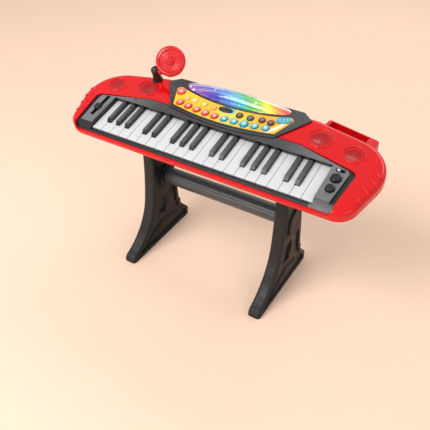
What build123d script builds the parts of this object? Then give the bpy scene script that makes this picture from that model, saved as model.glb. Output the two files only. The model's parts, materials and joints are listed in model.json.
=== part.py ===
from build123d import *
from math import atan2, cos, degrees, radians, sin
import os

# Toy electronic keyboard on two legs. Units are millimetres. X runs along the keys to the player's
# right, the player stands on the -Y side, Z is up and the feet stand on Z = 0.
# "Deck" coordinates are (x, v, h): v runs up the tilted key deck away from the player, from the front
# edge of the white keys, and h is the height above the white key tops.

# Deck position
deck_tilt = 13.6
keys_front_height = 271.0
keys_front_y = -72.02
keys_middle_x = -7.0

# Keys
white_count = 22
key_pitch = 20.0
key_gap = 0.6
white_length = 99.0
white_drop = 8.0
visible_length = 76.0
black_after = (1, 2, 3, 5, 6, 8, 9, 10, 12, 13, 15, 16, 17, 19, 20)
black_offset = 3.4
black_width = 9.0
black_taper = 2.5
black_front = 21.0
black_height = 7.5
black_tip_run = 4.5
notch_gap = 0.4

# Casing. The right end reaches further past the keys than the left one.
body_corners = (
    (-240.0, 21.0, 35.0),
    (-217.0, 80.0, 72.0),
    (-150.0, 98.0, 70.0),
    (150.0, 98.0, 70.0),
    (231.0, 80.0, 72.0),
    (254.0, 21.0, 35.0),
)
body_top = 8.0
body_base = -16.0
body_wall = 3.0
body_round = 9.0
body_base_round = 5.0
front_band_top = -5.5
front_band_half = 250.0
seam_gap = 0.3

# Underside: a plate that closes the casing, with a deeper tub set back from its edge
plate_inset = 3.6
plate_top = -13.5
tub_corners = ((222.0, 36.0, 26.0), (196.0, 82.0, 50.0), (140.0, 96.0, 56.0))
tub_floor = -32.0
tub_wall = 2.5

# Key surround with its two end blocks
surround_corners = ((247.0, -1.0, 7.0), (249.0, 66.0, 12.0), (150.0, 88.0, 12.0))
ridge_corners = ((239.0, -1.0, 7.0), (243.0, 66.0, 9.0), (150.0, 87.0, 11.0))
surround_top = 9.5
flange_top = 5.0
surround_base = -12.0
surround_skin = 2.0
key_window_x = 220.6
key_window_front = -1.2
key_window_back = 77.0
front_lip_top = -2.5
block_slope_v = 3.5
block_slope_h = -5.0

# Control panel
panel_top = 12.0
panel_base = 6.0
panel_front_half = 106.0
panel_front_v = 94.0
panel_front_bulge = 82.0
panel_back_half = 148.0
panel_side_v = 156.0
panel_ear_half = 128.0
panel_back_v = 171.0
panel_ledge = 9.0
sheet_thickness = 1.0
sheet_front_half = 103.0
sheet_front_v = 101.0
sheet_front_bulge = 90.0
sheet_back_half = 125.0
sheet_back_v = 153.0
sheet_back_bulge = 131.0
sheet_back_corner = 7.0
sheet_front_corner = 4.0

# Buttons
button_rise = 2.6
button_foot_h = 7.6
button_clear = 0.4
row_pitch = 19.6
row_shift = -4.8
row_arc_rise = 8.0
row_front_v = 100.8
row_radius = 6.6
small_radius = 5.0
dark_radius = 6.4
corner_radius = 8.5
drum_length = 27.0
drum_width = 12.6
drum_turn = 22.0
play_place = (-107.5, 136.0)
drum_place = (104.0, 136.5)
small_places = ((86.0, 122.5), (69.0, 123.0), (47.5, 120.0), (26.5, 119.0))

# Light dome: the part of a bent round bar that stands above the panel
dome_half = 104.0
dome_middle_v = 153.0
dome_width = 36.0
dome_rise = 15.0
dome_tip_shift = 7.0

# Speakers, in casing coordinates
inner_speaker = (177.0, 126.0)
outer_speaker = (241.0, 112.0)
speaker_radius = 22.0
driver_radius = 19.0
outer_speaker_scale = 0.85
dish_sphere = 60.0

# Side controls
lever_x = -234.0
lever_v = 40.0
lever_slot = (20.0, 74.0)
knob_x = 236.5
volume_v = 50.0
volume_radius = 8.2
tempo_v = 27.0
tempo_radius = 7.0
switch_v = 69.0
switch_shift = 3.0
stem_radius = 2.9
running_clearance = 0.06

# Microphone
mic_x = -174.0
mic_v = 153.0
mic_stalk_radius = 8.0
mic_joint_h = 30.0
mic_knuckle = 9.0
mic_pin = 5.0
mic_head_offset = (43.0, -8.0, 31.0)
mic_head_radius = 27.5
mic_head_depth = 24.0
mic_turn = 27.0
mic_lift = 28.0

# Phone holder, turned to follow the back edge of the casing
holder_centre = (217.5, 174.5)
holder_turn = -11.0
holder_length = 99.0
holder_depth = 28.0
holder_floor_h = -19.0
holder_top_h = 0.5
holder_wall = 3.0
phone_slot_shift = -5.0
phone_slot_length = 73.0
phone_slot_depth = 14.0

# Stand
leg_centre = 142.0
leg_width = 25.0
leg_front_round = 6.0
tube_y = 97.0
tube_z = 140.0
tube_radius = 17.0
tube_wall = 2.4
socket_depth = 18.0
boss_radius = 30.0
panel_sink = 3.0
heel_side = (
    (-38, 0),
    (157, 0),
    (157, 20),
    (131, 48),
    (131, 60),
    (126, 62),
    (114, 160),
    (110, 290),
    (40, 290),
)
window_corners = ((56, 62), (80, 60), (89, 84), (88, 104), (70, 100))

# Fasteners and internals
screw_places = ((264.0, 20.0), (214.0, 140.0), (157.0, 158.0))
screw_shank = 1.5
screw_tip = -3.0
screw_head = 3.4
boss_outer = 4.2
post_foot = -10.0
battery_half = 59.0
battery_v = (103.0, 148.0)
battery_top = -12.0
rail_v = (94.0, 101.0)
rail_top = -9.0
board_v = (34.0, 78.0)
board_h = -23.0
board_front_rib = (36.0, 39.0, board_h)
board_back_rib = (74.0, 77.0, board_h)
button_board_h = -2.0


def level(h):
    """Plane parallel to the deck at height h."""
    return deck.offset(h)


def side(x):
    """Plane across the deck at x, with local coordinates (v, h), facing +X."""
    return Plane(origin=deck.from_local_coords((x, 0, 0)), x_dir=deck.y_dir, z_dir=(1, 0, 0))


def mirrored(places):
    """Each (x, v) place with its mirror image across X = 0."""
    return [(sign * x, v) for x, v in places for sign in (-1, 1)]


def both_ends(corners):
    """Corner circles (x, v, radius) with their mirror images across the middle of the keys."""
    return [(sign * x, v, radius) for x, v, radius in corners for sign in (-1, 1)]


def rounded_outline(corners, growth=0.0):
    """Smooth outline round circles given as (x, v, radius), drawn larger by a growth."""
    for x, v, radius in corners:
        with Locations((x, v)):
            Circle(radius + growth)
    make_hull()


def at(x, v, h):
    """Location on the deck, turned with it."""
    return deck.location * Location((x, v, h))


def panel_outline():
    """Control panel: a trapezoid that flares away from the player, with a bowed front edge."""
    with BuildLine() as outline:
        ThreePointArc(
            (-panel_front_half, panel_front_v), (0, panel_front_bulge), (panel_front_half, panel_front_v)
        )
        Polyline(
            (panel_front_half, panel_front_v),
            (panel_back_half, panel_side_v),
            (panel_ear_half, panel_back_v),
            (-panel_ear_half, panel_back_v),
            (-panel_back_half, panel_side_v),
            (-panel_front_half, panel_front_v),
        )
    make_face(outline.edges())


def save(part, name):
    part.label = name
    export_step(part, f"parts/{name}.step")


os.makedirs("parts", exist_ok=True)
deck = Plane(
    origin=(keys_middle_x, keys_front_y, keys_front_height),
    x_dir=(1, 0, 0),
    z_dir=(0, -sin(radians(deck_tilt)), cos(radians(deck_tilt))),
)
deck_front_plane = Plane(origin=deck.from_local_coords((0, 0, 0)), x_dir=(1, 0, 0), z_dir=-deck.y_dir)
post_align = (Align.CENTER, Align.CENTER, Align.MAX)
deck_up = Axis(deck.origin, deck.z_dir)
deck_back = Axis(deck.origin, deck.y_dir)
bed_left = -white_count * key_pitch / 2
boundary_x = {i: bed_left + i * key_pitch for i in range(white_count + 1)}
black_centre = {i: boundary_x[i] + black_offset for i in black_after}


# --- Keys -----------------------------------------------------------------------------------------
def white_key(index):
    """A hollow plank with a front apron, notched beside its black neighbours."""
    left = boundary_x[index] + key_gap / 2
    width = key_pitch - key_gap
    with BuildPart() as key:
        with BuildSketch(side(left)):
            with BuildLine():
                Polyline(
                    (0, -white_drop), (0, 0), (white_length, 0), (white_length, -white_drop), close=True
                )
            make_face()
        extrude(amount=width)
        top = key.faces().sort_by(deck_up)[-1]
        fillet(top.edges().sort_by(deck_back)[:3], radius=0.8)
        with BuildSketch(level(-2.6)):
            with Locations((left + width / 2, 47.5)):
                Rectangle(width - 3.6, 90)
        extrude(amount=-20, mode=Mode.SUBTRACT)
        for boundary in (index, index + 1):
            if boundary in black_centre:
                with BuildSketch(level(5)):
                    with Locations((black_centre[boundary], black_front - notch_gap)):
                        Rectangle(black_width + 2 * notch_gap, 110, align=(Align.CENTER, Align.MIN))
                extrude(amount=-30, mode=Mode.SUBTRACT)
    return key.part


def black_key(boundary):
    """A tapered key with a sloped nose and a low tail that passes under the surround."""
    centre = black_centre[boundary]
    with BuildPart() as key:
        with BuildSketch(level(-8)):
            with Locations((centre, black_front)):
                Rectangle(black_width, visible_length - 1 - black_front, align=(Align.CENTER, Align.MIN))
        extrude(amount=8 + black_height, taper=black_taper)
        with BuildSketch(side(centre - black_width)):
            with BuildLine():
                Polyline(
                    (black_front, 0.6), (black_front + black_tip_run, black_height + 0.01),
                    (black_front + black_tip_run, 12), (black_front - 5, 12), (black_front - 5, 0.6),
                    close=True,
                )
            make_face()
        extrude(amount=2 * black_width, mode=Mode.SUBTRACT)
        fillet(key.faces().sort_by(deck_up)[-1].edges(), radius=0.9)
        tail_length = white_length - visible_length + 6
        with BuildSketch(level(-8)):
            with Locations((centre, visible_length - 6)):
                Rectangle(black_width - 1, tail_length, align=(Align.CENTER, Align.MIN))
        extrude(amount=7.8)
    return key.part


for index in range(white_count):
    save(white_key(index), f"white_key_{index + 1:02d}")
for number, boundary in enumerate(black_after):
    save(black_key(boundary), f"black_key_{number + 1:02d}")


# --- Casing ---------------------------------------------------------------------------------------
with BuildPart() as body_cavity:
    with BuildSketch(level(body_base - 1)):
        rounded_outline(body_corners, -body_wall)
    extrude(amount=body_top - body_wall - body_base + 1)
    fillet(body_cavity.faces().sort_by(deck_up)[-1].edges(), radius=body_round - body_wall)
    with BuildSketch(level(front_band_top - body_wall)):
        with Locations((0, surround_corners[0][1] - surround_corners[0][2] - seam_gap)):
            Rectangle(2 * front_band_half + 12, 60, align=(Align.CENTER, Align.MAX))
    extrude(amount=60, mode=Mode.SUBTRACT)

holder_plane = Plane(at(*holder_centre, 0) * Location((0, 0, 0), (0, 0, holder_turn)))
with BuildPart() as holder_pocket:
    with BuildSketch(holder_plane.offset(holder_floor_h - 1)):
        with Locations((0, -holder_depth - seam_gap)):
            Rectangle(holder_length + 2 * seam_gap, 80, align=(Align.CENTER, Align.MIN))
    extrude(amount=holder_top_h + seam_gap - holder_floor_h + 1)

with BuildPart() as upper_shell:
    with BuildSketch(level(body_base)):
        rounded_outline(body_corners)
    extrude(amount=body_top - body_base)
    fillet(upper_shell.faces().sort_by(deck_up)[-1].edges(), radius=body_round)
    fillet(upper_shell.faces().sort_by(deck_up)[0].edges(), radius=body_base_round)
    # The front rim is lower than the ends, so the key fronts show above it.
    with BuildSketch(deck_front_plane):
        with BuildLine():
            Polyline(
                (-front_band_half, front_band_top), (front_band_half, front_band_top),
                (front_band_half + 10, body_top + 10), (-front_band_half - 10, body_top + 10), close=True,
            )
        make_face()
    extrude(amount=40, mode=Mode.SUBTRACT)
    add(body_cavity.part, mode=Mode.SUBTRACT)
    # Opening for the key surround
    with BuildSketch(level(body_top + 5)):
        rounded_outline(both_ends(surround_corners), seam_gap)
    extrude(amount=surround_base - seam_gap - body_top - 5, mode=Mode.SUBTRACT)
    # Recess and opening for the control panel
    with BuildSketch(level(body_top + 5)):
        panel_outline()
        offset(amount=seam_gap)
    extrude(amount=panel_base - body_top - 5, mode=Mode.SUBTRACT)
    with BuildSketch(level(body_top + 5)):
        panel_outline()
        offset(amount=-panel_ledge)
    extrude(amount=-15, mode=Mode.SUBTRACT)
    # Speaker rings and dishes
    for place in mirrored((inner_speaker, outer_speaker)):
        size = 1.0 if abs(place[0]) == inner_speaker[0] else outer_speaker_scale
        with Locations(at(*place, body_top)):
            Torus(speaker_radius * size, 1.5)
            Torus(speaker_radius * size * 0.52, 1.1)
        with Locations(at(*place, body_top + dish_sphere - 1.4)):
            Sphere(dish_sphere, mode=Mode.SUBTRACT)
    # Screw posts
    for place in mirrored(screw_places):
        with Locations(at(*place, body_top - body_wall + 0.5)):
            Cylinder(boss_outer, body_top - body_wall + 0.5 - post_foot, align=post_align)
        with Locations(at(*place, screw_tip + 1)):
            Cylinder(screw_shank + 0.05, 30, align=post_align, mode=Mode.SUBTRACT)
    # Microphone socket and phone holder pocket
    with Locations(at(mic_x, mic_v, 20)):
        Cylinder(mic_stalk_radius + running_clearance, 40, align=post_align, mode=Mode.SUBTRACT)
        Cylinder(mic_stalk_radius + 2.4, 12, align=post_align, mode=Mode.SUBTRACT)
    add(holder_pocket.part, mode=Mode.SUBTRACT)
save(upper_shell.part, "upper_shell")

with BuildPart() as lower_shell:
    with BuildSketch(level(body_base)):
        rounded_outline(body_corners, -plate_inset)
    extrude(amount=plate_top - body_base)
    with BuildSketch(level(tub_floor)):
        rounded_outline(both_ends(tub_corners))
    extrude(amount=plate_top - tub_floor)
    chamfer(lower_shell.faces().sort_by(deck_up)[0].edges(), length=1.8)
    with BuildSketch(level(tub_floor + tub_wall)):
        rounded_outline(both_ends(tub_corners), -tub_wall)
    extrude(amount=30, mode=Mode.SUBTRACT)
    # Rail that the key tails turn above, and two ribs that carry the contact board
    for v_low, v_high, top in ((*rail_v, rail_top), board_front_rib, board_back_rib):
        with BuildSketch(level(tub_floor + tub_wall)):
            with Locations((0, v_low)):
                Rectangle(436, v_high - v_low, align=(Align.CENTER, Align.MIN))
        extrude(amount=top - tub_floor - tub_wall)
    # Battery box, open underneath
    battery_width = 2 * battery_half
    battery_depth = battery_v[1] - battery_v[0]
    mouth_width = battery_width - 2 * tub_wall
    mouth_depth = battery_depth - 2 * tub_wall
    with BuildSketch(level(tub_floor + tub_wall)):
        with Locations((0, battery_v[0])):
            Rectangle(battery_width, battery_depth, align=(Align.CENTER, Align.MIN))
    extrude(amount=battery_top - tub_floor - tub_wall)
    with BuildSketch(level(tub_floor - 1)):
        with Locations((0, battery_v[0] + tub_wall)):
            Rectangle(mouth_width, mouth_depth, align=(Align.CENTER, Align.MIN))
    extrude(amount=battery_top - tub_floor - 1, mode=Mode.SUBTRACT)
    # Screw posts with sunk heads
    for place in mirrored(screw_places):
        with Locations(at(*place, post_foot - seam_gap)):
            Cylinder(boss_outer, post_foot - seam_gap - body_base, align=post_align)
        with Locations(at(*place, 0)):
            Cylinder(screw_shank + 0.2, 60, align=post_align, mode=Mode.SUBTRACT)
        with Locations(at(*place, body_base + 3.4)):
            Cylinder(screw_head + 0.3, 10, align=post_align, mode=Mode.SUBTRACT)
    add(holder_pocket.part, mode=Mode.SUBTRACT)
save(lower_shell.part, "lower_shell")

with BuildPart() as battery_door:
    with BuildSketch(level(tub_floor)):
        with Locations((0, battery_v[0] + tub_wall + seam_gap)):
            RectangleRounded(
                mouth_width - 2 * seam_gap,
                mouth_depth - 2 * seam_gap,
                radius=2,
                align=(Align.CENTER, Align.MIN),
            )
    extrude(amount=2.2)
    with BuildSketch(level(tub_floor)):
        with Locations((0, battery_v[0] + 10)):
            SlotOverall(22, 6)
    extrude(amount=1.2, mode=Mode.SUBTRACT)
save(battery_door.part, "battery_door")

with BuildPart() as screws:
    for place in mirrored(screw_places):
        with Locations(at(*place, body_base + 3.3)):
            Cylinder(screw_head, 2.2, align=post_align)
        with Locations(at(*place, screw_tip)):
            Cylinder(screw_shank, screw_tip - body_base - 3, align=post_align)
        with Locations(at(*place, body_base + 2.1)):
            Box(3.6, 0.8, 2, align=(Align.CENTER, Align.CENTER, Align.MAX), mode=Mode.SUBTRACT)
            Box(0.8, 3.6, 2, align=(Align.CENTER, Align.CENTER, Align.MAX), mode=Mode.SUBTRACT)
save(screws.part, "screws")


# --- Key surround, with its end blocks ------------------------------------------------------------
with BuildPart() as key_surround:
    with BuildSketch(level(surround_base)):
        rounded_outline(both_ends(surround_corners))
    extrude(amount=flange_top - surround_base)
    with BuildSketch(level(surround_base)):
        rounded_outline(both_ends(ridge_corners))
    extrude(amount=surround_top - surround_base)
    # Sloped front face of the end blocks
    with BuildSketch(side(-300)):
        with BuildLine():
            Polyline(
                (block_slope_v, surround_top), (block_slope_v, 20), (-40, 20), (-40, block_slope_h),
                (surround_corners[0][1] - surround_corners[0][2], block_slope_h), close=True,
            )
        make_face()
    extrude(amount=600, mode=Mode.SUBTRACT)
    rim = key_surround.edges().filter_by_position(deck_up, surround_top - 0.01, surround_top + 0.01)
    fillet(rim.filter_by_position(deck_back, block_slope_v + 1, 200), radius=1.6)
    # Window for the keys, and the tunnel under the back strip for their tails
    with BuildSketch(level(surround_base - 1)):
        with Locations((0, key_window_front)):
            Rectangle(2 * key_window_x, key_window_back - key_window_front, align=(Align.CENTER, Align.MIN))
    extrude(amount=60, mode=Mode.SUBTRACT)
    with BuildSketch(level(surround_base - 1)):
        with Locations((0, key_window_back - 1)):
            Rectangle(2 * key_window_x, 60, align=(Align.CENTER, Align.MIN))
    extrude(amount=flange_top - surround_skin - surround_base + 1, mode=Mode.SUBTRACT)
    with BuildSketch(level(front_lip_top)):
        with Locations((0, 0)):
            Rectangle(2 * key_window_x, 40, align=(Align.CENTER, Align.MAX))
    extrude(amount=40, mode=Mode.SUBTRACT)
    # Hollow under each end block
    with BuildSketch(level(surround_base - 1)):
        for sign in (-1, 1):
            with Locations((sign * (key_window_x + 16), 5)):
                Rectangle(26, 66, align=(Align.CENTER, Align.MIN))
    extrude(amount=flange_top - surround_skin - surround_base + 1, mode=Mode.SUBTRACT)
    # Seat for the control panel
    with BuildSketch(level(panel_base)):
        panel_outline()
        offset(amount=seam_gap)
    extrude(amount=20, mode=Mode.SUBTRACT)
    # Slot for the pitch lever, holes for the two knobs and slot for the power switch
    with BuildSketch(level(surround_top + 1)):
        with Locations((lever_x, sum(lever_slot) / 2)):
            SlotOverall(lever_slot[1] - lever_slot[0], 5.0, rotation=90)
        with Locations((knob_x, volume_v), (knob_x, tempo_v)):
            Circle(stem_radius + running_clearance)
        with Locations((knob_x, switch_v)):
            SlotOverall(12.0, 4.4)
    extrude(amount=-10, mode=Mode.SUBTRACT)
save(key_surround.part, "key_surround")


def knob(v, radius):
    """A round knob with a pointer groove and a stem through the end block."""
    with BuildPart() as body:
        with BuildSketch(level(surround_top + 0.5)):
            with Locations((knob_x, v)):
                Circle(radius)
        extrude(amount=5.0)
        fillet(body.faces().sort_by(deck_up)[-1].edges(), radius=1.4)
        with BuildSketch(level(surround_top + 4.6)):
            with Locations((knob_x, v + radius * 0.55)):
                SlotOverall(radius * 0.8, 1.2, rotation=90)
        extrude(amount=5, mode=Mode.SUBTRACT)
        with BuildSketch(level(surround_top + 0.5)):
            with Locations((knob_x, v)):
                Circle(stem_radius)
        extrude(amount=-9.0)
    return body.part


save(knob(volume_v, volume_radius), "volume_knob")
save(knob(tempo_v, tempo_radius), "tempo_knob")

with BuildPart() as pitch_lever:
    with BuildSketch(level(surround_top + 0.5)):
        with Locations((lever_x, lever_v)):
            RectangleRounded(10.5, 14, radius=3)
    extrude(amount=5.5)
    fillet(pitch_lever.faces().sort_by(deck_up)[-1].edges(), radius=1.6)
    with BuildSketch(level(surround_top + 6.5)):
        with Locations((lever_x, lever_v - 2.4), (lever_x, lever_v), (lever_x, lever_v + 2.4)):
            Rectangle(6.5, 0.9)
    extrude(amount=-1.2, mode=Mode.SUBTRACT)
    with BuildSketch(level(surround_top + 0.5)):
        with Locations((lever_x, lever_v)):
            Rectangle(4.2, 6)
    extrude(amount=-9)
save(pitch_lever.part, "pitch_lever")

with BuildPart() as power_switch:
    with BuildSketch(level(surround_top + 1.6)):
        with Locations((knob_x - switch_shift, switch_v)):
            RectangleRounded(4.4, 3.4, radius=0.6)
    extrude(amount=-9)
save(power_switch.part, "power_switch")


# --- Control panel --------------------------------------------------------------------------------
def sheet_outline():
    """Printed sheet: the panel outline drawn in, with a back edge that follows the dome."""
    with BuildLine() as outline:
        ThreePointArc(
            (-sheet_front_half, sheet_front_v), (0, sheet_front_bulge), (sheet_front_half, sheet_front_v)
        )
        Line((sheet_front_half, sheet_front_v), (sheet_back_half, sheet_back_v))
        ThreePointArc(
            (sheet_back_half, sheet_back_v), (0, sheet_back_bulge), (-sheet_back_half, sheet_back_v)
        )
        Line((-sheet_back_half, sheet_back_v), (-sheet_front_half, sheet_front_v))
    face = make_face(outline.edges())
    corners = face.vertices().sort_by(Axis.Y)
    fillet(corners[2:], radius=sheet_back_corner)
    fillet(corners[:2], radius=sheet_front_corner)


def row_place(step):
    """Place of a button in the front row; steps run from the middle and the ends curve back."""
    x = step * row_pitch + row_shift
    return x, row_front_v + row_arc_rise * (x / 90) ** 2


red_places = [row_place(n - 4.5) for n in range(5)]
teal_places = [row_place(n + 0.5) for n in range(5)]
pale_places = [(-x, v) for x, v in small_places]
dark_places = list(small_places)
round_holes = (
    [(place, row_radius) for place in red_places + teal_places]
    + [(place, small_radius) for place in pale_places]
    + [(place, dark_radius) for place in dark_places]
    + [(play_place, corner_radius)]
)


def button_holes(clearance, mode=Mode.ADD):
    """Outlines of all button holes, grown by a clearance."""
    for place, radius in round_holes:
        with Locations(place):
            Circle(radius + clearance, mode=mode)
    with Locations(drum_place):
        SlotOverall(drum_length + 2 * clearance, drum_width + 2 * clearance, rotation=drum_turn, mode=mode)


with BuildPart() as panel_frame:
    with BuildSketch(level(panel_base)):
        panel_outline()
    extrude(amount=panel_top - panel_base)
    fillet(panel_frame.edges().filter_by(deck_up), radius=5)
    fillet(panel_frame.faces().sort_by(deck_up)[-1].edges(), radius=1.8)
    with BuildSketch(level(panel_top - sheet_thickness - 0.2)):
        sheet_outline()
        offset(amount=0.25)
    extrude(amount=10, mode=Mode.SUBTRACT)
    with BuildSketch(level(panel_base - 1)):
        button_holes(button_clear)
    extrude(amount=10, mode=Mode.SUBTRACT)
save(panel_frame.part, "panel_frame")

with BuildPart() as panel_sheet:
    with BuildSketch(level(panel_top - sheet_thickness - 0.2)):
        sheet_outline()
        button_holes(button_clear, mode=Mode.SUBTRACT)
    extrude(amount=sheet_thickness)
save(panel_sheet.part, "panel_sheet")


def buttons(places, radius):
    """Round button caps with soft top edges."""
    cap_top = panel_top + button_rise
    with BuildPart() as caps:
        for place in places:
            with Locations(at(*place, cap_top)):
                Cylinder(radius, cap_top - button_foot_h, align=post_align)
        fillet(caps.edges().filter_by_position(deck_up, cap_top - 0.01, cap_top + 0.01), radius=1.1)
    return caps.part


red_caps = buttons(red_places, row_radius) + buttons([play_place], corner_radius)
save(red_caps, "red_buttons")
with BuildPart() as teal_buttons:
    add(buttons(teal_places, row_radius))
    with BuildSketch(level(button_foot_h)):
        with Locations(drum_place):
            SlotOverall(drum_length, drum_width, rotation=drum_turn)
    extrude(amount=panel_top + button_rise - button_foot_h)
save(teal_buttons.part, "teal_buttons")
save(buttons(pale_places, small_radius) + buttons(dark_places, dark_radius), "small_buttons")

dome_bar = (dome_width**2 / 4 + dome_rise**2) / (2 * dome_rise)
dome_fall = (dome_tip_shift**2 + dome_rise**2) ** 0.5
dome_bend = (dome_half**2 + dome_fall**2) / (2 * dome_fall)
dome_centre = (
    0,
    dome_middle_v + dome_bend * dome_tip_shift / dome_fall,
    panel_top + dome_rise - dome_bar - dome_bend * dome_rise / dome_fall,
)
dome_lean = degrees(atan2(dome_rise, dome_tip_shift))
with BuildPart() as light_dome:
    with Locations(deck.location * Location(dome_centre, (-dome_lean, 0, 0))):
        Torus(dome_bend, dome_bar)
    with BuildSketch(level(panel_top)):
        with Locations((0, dome_middle_v)):
            Rectangle(2 * dome_half + 20, 2 * dome_width)
    extrude(amount=2 * dome_rise, mode=Mode.INTERSECT)
save(light_dome.part, "light_dome")


# --- Internals ------------------------------------------------------------------------------------
with BuildPart() as circuit_boards:
    with BuildSketch(level(board_h)):
        with Locations((0, board_v[0])):
            Rectangle(430, board_v[1] - board_v[0], align=(Align.CENTER, Align.MIN))
    extrude(amount=1.6)
    with BuildSketch(level(board_h + 1.6)):
        with Locations((0, 48)):
            Rectangle(432, 12)
    extrude(amount=3.0)
    with BuildSketch(level(button_board_h)):
        with Locations((0, 127)):
            Rectangle(226, 34)
    extrude(amount=1.6)
save(circuit_boards.part, "circuit_boards")

with BuildPart() as speakers:
    for place in mirrored((inner_speaker,)):
        with Locations(at(*place, 4.4)):
            Cylinder(driver_radius, 2.4, align=post_align)
        with Locations(at(*place, 2.0)):
            Cone(9, driver_radius - 2, 9, align=post_align)
        with Locations(at(*place, -7.0)):
            Cylinder(11, 6, align=post_align)
        with Locations(at(*place, 4.4)):
            Cone(5, driver_radius - 3.5, 7, align=post_align, mode=Mode.SUBTRACT)
save(speakers.part, "speakers")


# --- Microphone -----------------------------------------------------------------------------------
with BuildPart() as mic_arm:
    with Locations(at(mic_x, mic_v, mic_joint_h)):
        Sphere(mic_knuckle)
    with Locations(at(mic_x, mic_v, mic_joint_h - 2)):
        Cylinder(mic_stalk_radius, mic_joint_h - 2 + 8, align=post_align)
    with Locations(at(mic_x, mic_v, body_top + 3)):
        Cylinder(mic_stalk_radius + 2, 2.6, align=post_align)
    with BuildSketch(side(mic_x - 20)):
        with Locations((mic_v, mic_joint_h)):
            Circle(mic_pin + running_clearance)
    extrude(amount=40, mode=Mode.SUBTRACT)
save(mic_arm.part, "mic_arm")

joint_point = deck.from_local_coords((mic_x, mic_v, mic_joint_h))
facing = Vector(
    sin(radians(mic_turn)) * cos(radians(mic_lift)),
    -cos(radians(mic_turn)) * cos(radians(mic_lift)),
    sin(radians(mic_lift)),
)
head_centre = joint_point + Vector(*mic_head_offset)
elbow = joint_point + Vector(14, 0, 0)
strut = head_centre - facing * 5 - elbow
head_side = Vector(cos(radians(mic_turn)), sin(radians(mic_turn)), 0)
head_plane = Plane(origin=head_centre, x_dir=head_side, z_dir=facing)
with BuildPart() as mic_head:
    # Half section from the axis out: domed back, rolled rim, dished grille with a centre button
    with BuildSketch(Plane(origin=head_centre, x_dir=head_plane.x_dir, z_dir=-head_plane.y_dir)):
        depth = mic_head_depth / 2
        rim_start = (mic_head_radius, depth * 0.3)
        rim_end = (mic_head_radius - 6, depth)
        with BuildLine():
            Polyline((0, -depth), (10, -depth))
            ThreePointArc((10, -depth), (23, -depth * 0.55), rim_start)
            ThreePointArc(rim_start, (mic_head_radius - 2.2, depth * 0.85), rim_end)
            Polyline(
                rim_end,
                (mic_head_radius - 8.5, depth - 1.8),
                (8, depth - 2.6),
                (6.5, depth - 0.8),
                (0, depth - 0.4),
                (0, -depth),
            )
        make_face()
    revolve(axis=Axis(head_centre, facing))
    with BuildSketch(Plane(origin=joint_point - Vector(mic_knuckle - 1, 0, 0), z_dir=(1, 0, 0))):
        Circle(mic_pin)
    extrude(amount=mic_knuckle - 1 + 14)
    with Locations(Location(elbow)):
        Sphere(mic_pin)
    with BuildSketch(Plane(origin=elbow, z_dir=strut)):
        Circle(mic_pin)
    extrude(amount=strut.length)
save(mic_head.part, "mic_head")


# --- Phone holder ---------------------------------------------------------------------------------
with BuildPart() as phone_holder:
    with BuildSketch(holder_plane.offset(holder_floor_h)):
        with Locations((0, -holder_depth / 2)):
            RectangleRounded(holder_length, holder_depth, radius=6)
    extrude(amount=holder_top_h - holder_floor_h)
    fillet(phone_holder.faces().sort_by(deck_up)[-1].edges(), radius=2.5)
    with BuildSketch(holder_plane.offset(holder_floor_h + holder_wall)):
        with Locations((phone_slot_shift, -holder_wall)):
            Rectangle(phone_slot_length, phone_slot_depth, align=(Align.CENTER, Align.MAX))
    extrude(amount=60, mode=Mode.SUBTRACT)
save(phone_holder.part, "phone_holder")


# --- Stand ----------------------------------------------------------------------------------------
def leg_plane(x):
    """Upright plane at x, with local coordinates (y behind the key fronts, z)."""
    return Plane(origin=(x, keys_front_y, 0), x_dir=(0, 1, 0), z_dir=(1, 0, 0))


def leg_outline():
    """Curved front, long toe, and a stepped heel."""
    with BuildLine() as outline:
        front = ThreePointArc(heel_side[-1], (45, 168), (39, 106))
        toe = TangentArc(front @ 1, (-30, 15), tangent=front % 1)
        ThreePointArc(toe @ 1, (-36.5, 9), heel_side[0])
        Polyline(*heel_side)
    make_face(outline.edges())


with BuildPart() as right_leg:
    with BuildSketch(leg_plane(leg_centre - leg_width / 2)):
        leg_outline()
    extrude(amount=leg_width)
    split(bisect_by=level(tub_floor), keep=Keep.BOTTOM)
    fillet(right_leg.edges().filter_by(GeomType.CIRCLE), radius=leg_front_round)
    # Sunk side panels, with a boss left round the crossbar
    for x, depth in ((leg_centre - leg_width / 2, panel_sink), (leg_centre + leg_width / 2, -panel_sink)):
        with BuildSketch(leg_plane(x)):
            leg_outline()
            offset(amount=-8)
            with Locations((tube_y, tube_z)):
                Circle(boss_radius, mode=Mode.SUBTRACT)
        extrude(amount=depth, mode=Mode.SUBTRACT)
    # Through window behind the curve of the foot
    with BuildSketch(leg_plane(leg_centre - leg_width)):
        with BuildLine():
            FilletPolyline(*window_corners, radius=3, close=True)
        make_face()
    extrude(amount=2 * leg_width, mode=Mode.SUBTRACT)
    with BuildSketch(leg_plane(leg_centre - leg_width / 2)):
        with Locations((tube_y, tube_z)):
            Circle(tube_radius + 0.1)
    extrude(amount=socket_depth, mode=Mode.SUBTRACT)
save(right_leg.part, "right_leg")
save(mirror(right_leg.part, about=Plane.YZ), "left_leg")

with BuildPart() as crossbar:
    inner_reach = leg_centre - leg_width / 2 + socket_depth - 0.5
    with BuildSketch(leg_plane(-inner_reach)):
        with Locations((tube_y, tube_z)):
            Circle(tube_radius)
            Circle(tube_radius - tube_wall, mode=Mode.SUBTRACT)
    extrude(amount=2 * inner_reach)
save(crossbar.part, "crossbar")
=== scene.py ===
import json
import math

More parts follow.
